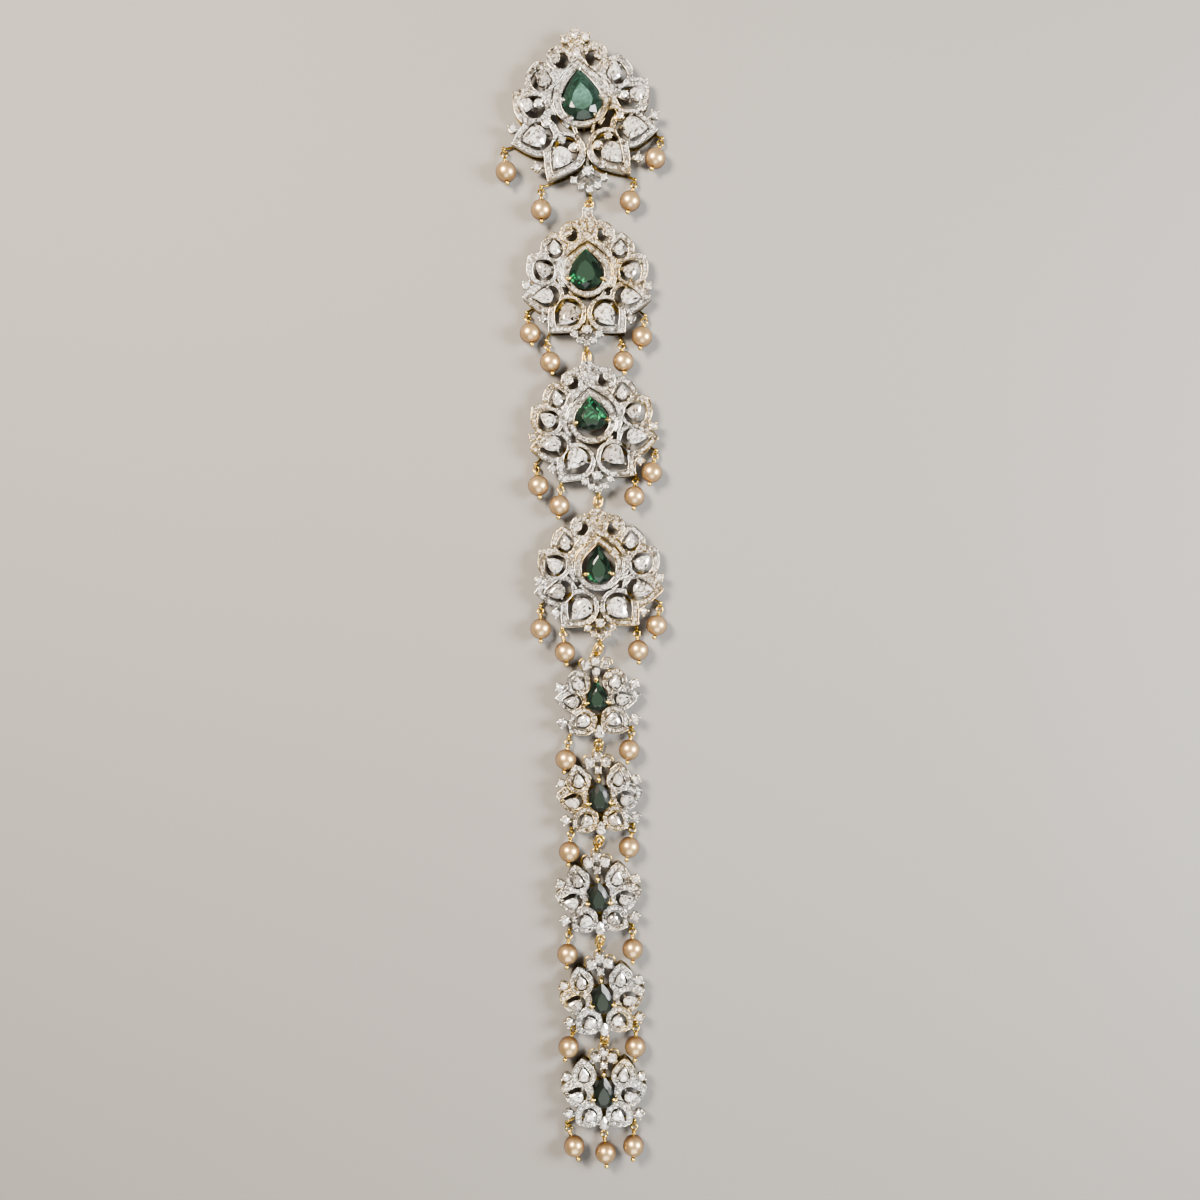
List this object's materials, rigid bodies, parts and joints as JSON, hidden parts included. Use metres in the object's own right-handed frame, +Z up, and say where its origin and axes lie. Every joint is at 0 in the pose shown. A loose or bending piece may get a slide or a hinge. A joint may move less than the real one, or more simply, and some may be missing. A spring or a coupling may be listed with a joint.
{
  "type": "braid ornament",
  "caption": "Openwork stone-set medallions linked in a tapering chain, with pear-cut green stones, pave borders and pearl drops, worn down the back of a braid.",
  "frame": {"origin": "middle of the ornament's outline, on the surface it lies on", "axes": "+X across the chain, +Y along it towards the largest medallion, +Z up from the surface through the stones"},
  "size_m": [0.0586, 0.3877, 0.0086],
  "materials": {
    "frame_metal": "polished, rhodium white on top and yellow gold behind",
    "gold_wire": "polished yellow gold plating",
    "center_stone": "faceted, polished",
    "side_stone": "faceted, polished",
    "pearl": "nacre, soft gloss"
  },
  "bodies": {
    "root": {"frame_1": "frame_metal", "frame_2": "frame_metal", "frame_3": "frame_metal", "frame_4": "frame_metal", "frame_5": "frame_metal", "frame_6": "frame_metal", "frame_7": "frame_metal", "frame_8": "frame_metal", "frame_9": "frame_metal", "center_stone_1": "center_stone", "center_stone_2": "center_stone", "center_stone_3": "center_stone", "center_stone_4": "center_stone", "center_stone_5": "center_stone", "center_stone_6": "center_stone", "center_stone_7": "center_stone", "center_stone_8": "center_stone", "center_stone_9": "center_stone", "side_stones_1": "side_stone", "side_stones_2": "side_stone", "side_stones_3": "side_stone", "side_stones_4": "side_stone", "side_stones_small": "side_stone", "pearl_1": "pearl", "pearl_2": "pearl", "pearl_3": "pearl", "pearl_4": "pearl", "pearl_5": "pearl", "pearl_6": "pearl", "pearl_7": "pearl", "pearl_8": "pearl", "pearl_9": "pearl", "pearl_10": "pearl", "pearl_11": "pearl", "pearl_12": "pearl", "pearl_13": "pearl", "pearl_14": "pearl", "pearl_15": "pearl", "pearl_16": "pearl", "pearl_17": "pearl", "pearl_18": "pearl", "pearl_19": "pearl", "pearl_20": "pearl", "pearl_21": "pearl", "pearl_22": "pearl", "pearl_23": "pearl", "pearl_24": "pearl", "pearl_25": "pearl", "pearl_26": "pearl", "pearl_27": "pearl", "link_1": "gold_wire", "link_2": "gold_wire", "link_3": "gold_wire", "link_4": "gold_wire", "link_5": "gold_wire", "link_6": "gold_wire", "link_7": "gold_wire", "link_8": "gold_wire", "drop_pins": "gold_wire"}
  },
  "joints": []
}
